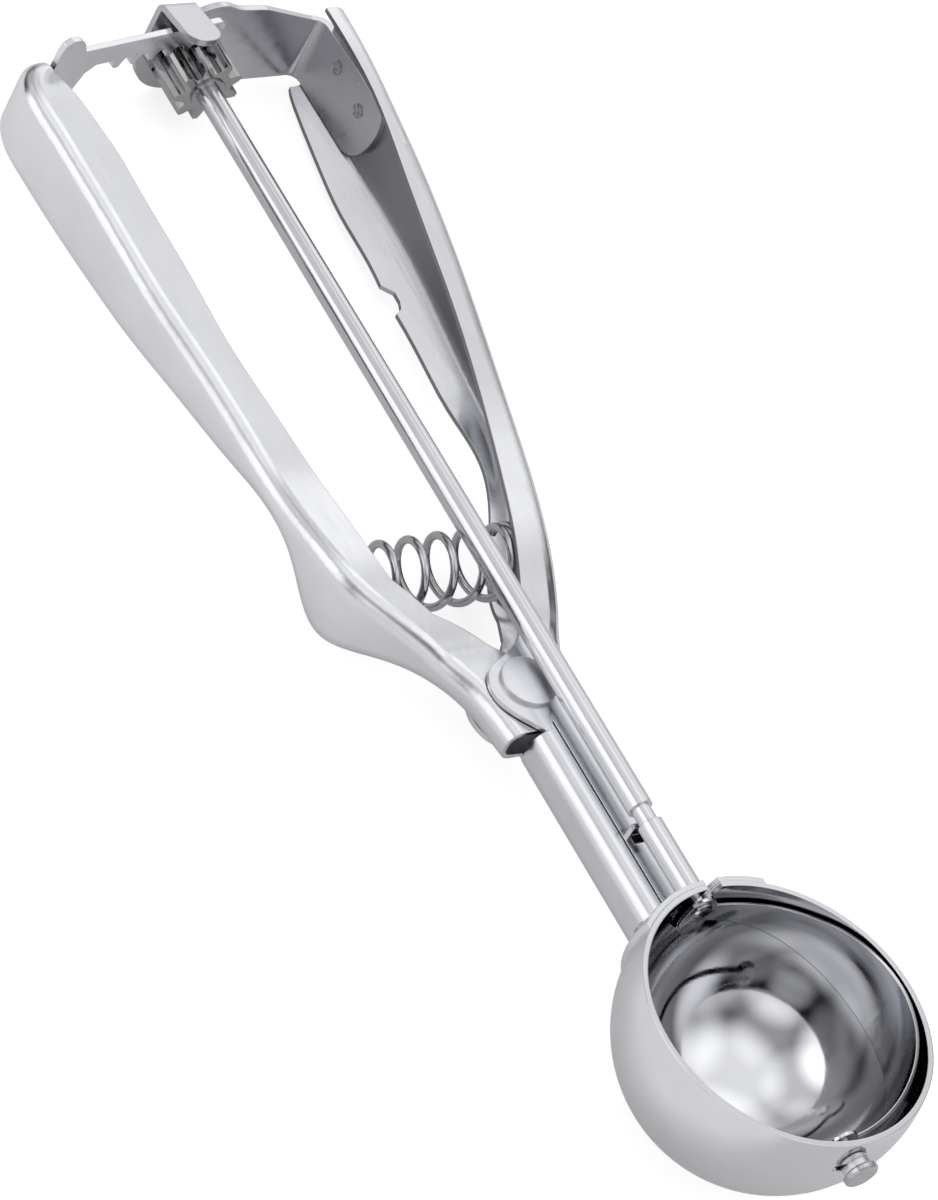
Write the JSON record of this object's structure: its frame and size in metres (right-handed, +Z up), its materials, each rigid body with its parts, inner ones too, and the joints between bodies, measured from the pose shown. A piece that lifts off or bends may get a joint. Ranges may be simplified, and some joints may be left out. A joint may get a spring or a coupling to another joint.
{
  "type": "lever ice cream scoop",
  "caption": "Steel ice cream scoop: squeezing the two sheet handles drives a rack and pinion that turns a long rod and sweeps a curved blade round the bowl.",
  "frame": {"origin": "point under the bowl where it rests on the table", "axes": "+X from the handles to the bowl, +Y towards the fixed handle, +Z up with the bowl's mouth upward"},
  "size_m": [0.2381, 0.0708, 0.0323],
  "materials": {
    "polished_steel": "polished stainless sheet",
    "stamped_steel": "tumbled stainless stamping",
    "rod_steel": "drawn round bar",
    "pinion_metal": "drawn pinion bar",
    "spring_steel": "drawn wire",
    "rivet_steel": "upset head"
  },
  "bodies": {
    "frame": {"fixed_handle": "polished_steel", "bowl": "polished_steel", "pivot_rivet": "rivet_steel", "rack_guide": "stamped_steel", "pin_collar": "rivet_steel", "guide_spot_welds": "stamped_steel", "saddle_spot_welds": "stamped_steel", "return_spring": "spring_steel"},
    "lever": {"lever_handle": "polished_steel", "rack": "stamped_steel", "rack_spot_welds": "stamped_steel"},
    "blade_shaft": {"blade_rod": "rod_steel", "pinion": "pinion_metal", "scraper_blade": "polished_steel", "blade_pin": "rivet_steel"}
  },
  "joints": [
    {"name": "lever_squeeze", "type": "hinge", "parent": "frame", "child": "lever", "pos_m": [-0.07121, -0.0034, 0.01169], "axis": [0.074, 0, -0.9973], "range_deg": [0, 6.2], "stiffness_Nm_per_rad": 0.9, "springref_deg": -8.59, "deforming": ["return_spring"]},
    {"name": "blade_spin", "type": "hinge", "parent": "frame", "child": "blade_shaft", "pos_m": [0, 0, 0.025], "axis": [-0.9973, 0, -0.074], "range_deg": [0, 146.5]}
  ],
  "couplings": [
    {"joint": "blade_spin", "follows": "lever_squeeze", "ratio": 23.607}
  ]
}
